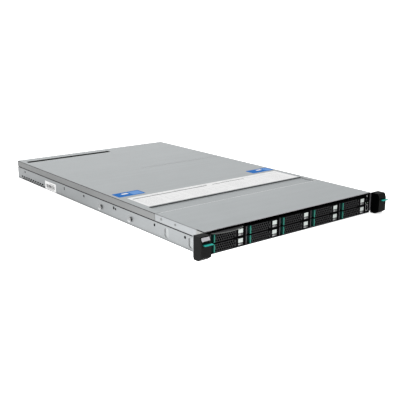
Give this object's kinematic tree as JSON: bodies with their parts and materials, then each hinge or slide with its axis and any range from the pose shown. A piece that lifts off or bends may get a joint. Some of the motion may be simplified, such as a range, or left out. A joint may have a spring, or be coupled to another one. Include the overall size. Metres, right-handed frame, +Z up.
{
  "type": "1u rack server",
  "caption": "Flat rack-mount server with sliding drive carriers behind a black front, latch ears, a steel body with a sliding top cover, fans and plug-in power supplies.",
  "frame": {"origin": "centre of the whole box, at the height of the chassis floor's underside", "axes": "+Z up, -Y towards the drive fronts, +X to the right seen from the front"},
  "size_m": [0.4826, 0.8094, 0.0432],
  "materials": {
    "galvanised_steel": "zinc-coated sheet, satin",
    "black_plastic": "fine moulded texture",
    "carrier_plastic": "fine moulded texture",
    "lever_plastic": "perforated, with a coloured grip",
    "teal_plastic": "satin moulded",
    "clear_tag": "smooth",
    "circuit_board": "solder mask",
    "aluminium": "bare fins",
    "nickel_steel": "nickel plated",
    "button_plastic": "satin",
    "psu_steel": "zinc-coated sheet",
    "rotor_plastic": "smooth"
  },
  "bodies": {
    "chassis": {"air_duct": "black_plastic", "chassis_pan": "galvanised_steel", "chassis_screws": "nickel_steel", "control_panel": "black_plastic", "cpu_heatsinks": "aluminium", "drive_backplane": "circuit_board", "drive_cage": "galvanised_steel", "fan_frames": "black_plastic", "front_frame": "black_plastic", "front_top_cover": "galvanised_steel", "front_usb_port": "nickel_steel", "latch_pins": "nickel_steel", "left_ear_housing": "black_plastic", "memory_modules": "circuit_board", "power_board": "circuit_board", "processors": "nickel_steel", "rack_flanges": "galvanised_steel", "rail_studs": "nickel_steel", "rear_io_ports": "nickel_steel", "rear_wall": "galvanised_steel", "right_ear_housing": "black_plastic", "riser_card": "circuit_board", "slot_covers": "galvanised_steel", "system_board": "circuit_board"},
    "drive_1": {"drive_carrier_1": "carrier_plastic"},
    "lever_1": {"drive_lever_1": "lever_plastic"},
    "drive_2": {"drive_carrier_2": "carrier_plastic"},
    "lever_2": {"drive_lever_2": "lever_plastic"},
    "drive_3": {"drive_carrier_3": "carrier_plastic"},
    "lever_3": {"drive_lever_3": "lever_plastic"},
    "drive_4": {"drive_carrier_4": "carrier_plastic"},
    "lever_4": {"drive_lever_4": "lever_plastic"},
    "drive_5": {"drive_carrier_5": "carrier_plastic"},
    "lever_5": {"drive_lever_5": "lever_plastic"},
    "drive_6": {"drive_carrier_6": "carrier_plastic"},
    "lever_6": {"drive_lever_6": "lever_plastic"},
    "drive_7": {"drive_carrier_7": "carrier_plastic"},
    "lever_7": {"drive_lever_7": "lever_plastic"},
    "drive_8": {"drive_carrier_8": "carrier_plastic"},
    "lever_8": {"drive_lever_8": "lever_plastic"},
    "drive_9": {"drive_carrier_9": "carrier_plastic"},
    "lever_9": {"drive_lever_9": "lever_plastic"},
    "drive_10": {"drive_carrier_10": "carrier_plastic"},
    "lever_10": {"drive_lever_10": "lever_plastic"},
    "rear_cover": {"rear_top_cover": "galvanised_steel"},
    "tag": {"info_tag": "clear_tag"},
    "left_latch": {"left_latch_lever": "teal_plastic"},
    "right_latch": {"right_latch_lever": "teal_plastic"},
    "power_button_body": {"power_button": "button_plastic"},
    "id_button_body": {"id_button": "button_plastic"},
    "psu_1": {"power_supply_1": "psu_steel"},
    "psu_1_latch": {"psu_latch_1": "teal_plastic"},
    "psu_2": {"power_supply_2": "psu_steel"},
    "psu_2_latch": {"psu_latch_2": "teal_plastic"},
    "rotor_1": {"fan_rotor_1": "rotor_plastic"},
    "rotor_2": {"fan_rotor_2": "rotor_plastic"},
    "rotor_3": {"fan_rotor_3": "rotor_plastic"},
    "rotor_4": {"fan_rotor_4": "rotor_plastic"},
    "rotor_5": {"fan_rotor_5": "rotor_plastic"},
    "rotor_6": {"fan_rotor_6": "rotor_plastic"}
  },
  "joints": [
    {"name": "drive_1_slide", "type": "slide", "parent": "chassis", "child": "drive_1", "axis": [0, -1, 0], "range_m": [0, 0.13]},
    {"name": "lever_1_swing", "type": "hinge", "parent": "drive_1", "child": "lever_1", "pos_m": [-0.1472, -0.37115, 0.0271], "axis": [0, 0, 1], "range_deg": [0, 50]},
    {"name": "drive_2_slide", "type": "slide", "parent": "chassis", "child": "drive_2", "axis": [0, -1, 0], "range_m": [0, 0.13]},
    {"name": "lever_2_swing", "type": "hinge", "parent": "drive_2", "child": "lever_2", "pos_m": [-0.0647, -0.37115, 0.0271], "axis": [0, 0, 1], "range_deg": [0, 50]},
    {"name": "drive_3_slide", "type": "slide", "parent": "chassis", "child": "drive_3", "axis": [0, -1, 0], "range_m": [0, 0.13]},
    {"name": "lever_3_swing", "type": "hinge", "parent": "drive_3", "child": "lever_3", "pos_m": [0.0178, -0.37115, 0.0271], "axis": [0, 0, 1], "range_deg": [0, 50]},
    {"name": "drive_4_slide", "type": "slide", "parent": "chassis", "child": "drive_4", "axis": [0, -1, 0], "range_m": [0, 0.13]},
    {"name": "lever_4_swing", "type": "hinge", "parent": "drive_4", "child": "lever_4", "pos_m": [0.1003, -0.37115, 0.0271], "axis": [0, 0, 1], "range_deg": [0, 50]},
    {"name": "drive_5_slide", "type": "slide", "parent": "chassis", "child": "drive_5", "axis": [0, -1, 0], "range_m": [0, 0.13]},
    {"name": "lever_5_swing", "type": "hinge", "parent": "drive_5", "child": "lever_5", "pos_m": [0.1828, -0.37115, 0.0271], "axis": [0, 0, 1], "range_deg": [0, 50]},
    {"name": "drive_6_slide", "type": "slide", "parent": "chassis", "child": "drive_6", "axis": [0, -1, 0], "range_m": [0, 0.13]},
    {"name": "lever_6_swing", "type": "hinge", "parent": "drive_6", "child": "lever_6", "pos_m": [-0.1472, -0.37115, 0.0095], "axis": [0, 0, 1], "range_deg": [0, 50]},
    {"name": "drive_7_slide", "type": "slide", "parent": "chassis", "child": "drive_7", "axis": [0, -1, 0], "range_m": [0, 0.13]},
    {"name": "lever_7_swing", "type": "hinge", "parent": "drive_7", "child": "lever_7", "pos_m": [-0.0647, -0.37115, 0.0095], "axis": [0, 0, 1], "range_deg": [0, 50]},
    {"name": "drive_8_slide", "type": "slide", "parent": "chassis", "child": "drive_8", "axis": [0, -1, 0], "range_m": [0, 0.13]},
    {"name": "lever_8_swing", "type": "hinge", "parent": "drive_8", "child": "lever_8", "pos_m": [0.0178, -0.37115, 0.0095], "axis": [0, 0, 1], "range_deg": [0, 50]},
    {"name": "drive_9_slide", "type": "slide", "parent": "chassis", "child": "drive_9", "axis": [0, -1, 0], "range_m": [0, 0.13]},
    {"name": "lever_9_swing", "type": "hinge", "parent": "drive_9", "child": "lever_9", "pos_m": [0.1003, -0.37115, 0.0095], "axis": [0, 0, 1], "range_deg": [0, 50]},
    {"name": "drive_10_slide", "type": "slide", "parent": "chassis", "child": "drive_10", "axis": [0, -1, 0], "range_m": [0, 0.13]},
    {"name": "lever_10_swing", "type": "hinge", "parent": "drive_10", "child": "lever_10", "pos_m": [0.1828, -0.37115, 0.0095], "axis": [0, 0, 1], "range_deg": [0, 50]},
    {"name": "rear_cover_slide", "type": "slide", "parent": "chassis", "child": "rear_cover", "axis": [0, 1, 0], "range_m": [0, 0.022]},
    {"name": "tag_slide", "type": "slide", "parent": "chassis", "child": "tag", "axis": [0, -1, 0], "range_m": [0, 0.055]},
    {"name": "left_latch_tilt", "type": "hinge", "parent": "chassis", "child": "left_latch", "pos_m": [-0.2313, -0.38775, 0.0298], "axis": [-1, 0, 0], "range_deg": [0, 8], "stiffness_Nm_per_rad": 0.25},
    {"name": "right_latch_tilt", "type": "hinge", "parent": "chassis", "child": "right_latch", "pos_m": [0.2313, -0.38775, 0.0298], "axis": [-1, 0, 0], "range_deg": [0, 8], "stiffness_Nm_per_rad": 0.25},
    {"name": "power_button_press", "type": "slide", "parent": "chassis", "child": "power_button_body", "axis": [0, 1, 0], "range_m": [0, 0.0012], "stiffness_N_per_m": 800},
    {"name": "id_button_press", "type": "slide", "parent": "chassis", "child": "id_button_body", "axis": [0, 1, 0], "range_m": [0, 0.0012], "stiffness_N_per_m": 800},
    {"name": "psu_1_slide", "type": "slide", "parent": "chassis", "child": "psu_1", "axis": [0, 1, 0], "range_m": [0, 0.19]},
    {"name": "psu_1_latch_tilt", "type": "hinge", "parent": "psu_1", "child": "psu_1_latch", "pos_m": [0.1316, 0.35475, 0.021], "axis": [0, 0, 1], "range_deg": [0, 8], "stiffness_Nm_per_rad": 0.25},
    {"name": "psu_2_slide", "type": "slide", "parent": "chassis", "child": "psu_2", "axis": [0, 1, 0], "range_m": [0, 0.19]},
    {"name": "psu_2_latch_tilt", "type": "hinge", "parent": "psu_2", "child": "psu_2_latch", "pos_m": [0.2096, 0.35475, 0.021], "axis": [0, 0, 1], "range_deg": [0, 8], "stiffness_Nm_per_rad": 0.25},
    {"name": "rotor_1_spin", "type": "hinge", "parent": "chassis", "child": "rotor_1", "pos_m": [-0.165, -0.13375, 0.0212], "axis": [0, 1, 0], "continuous": true},
    {"name": "rotor_2_spin", "type": "hinge", "parent": "chassis", "child": "rotor_2", "pos_m": [-0.099, -0.13375, 0.0212], "axis": [0, 1, 0], "continuous": true},
    {"name": "rotor_3_spin", "type": "hinge", "parent": "chassis", "child": "rotor_3", "pos_m": [-0.033, -0.13375, 0.0212], "axis": [0, 1, 0], "continuous": true},
    {"name": "rotor_4_spin", "type": "hinge", "parent": "chassis", "child": "rotor_4", "pos_m": [0.033, -0.13375, 0.0212], "axis": [0, 1, 0], "continuous": true},
    {"name": "rotor_5_spin", "type": "hinge", "parent": "chassis", "child": "rotor_5", "pos_m": [0.099, -0.13375, 0.0212], "axis": [0, 1, 0], "continuous": true},
    {"name": "rotor_6_spin", "type": "hinge", "parent": "chassis", "child": "rotor_6", "pos_m": [0.165, -0.13375, 0.0212], "axis": [0, 1, 0], "continuous": true}
  ]
}
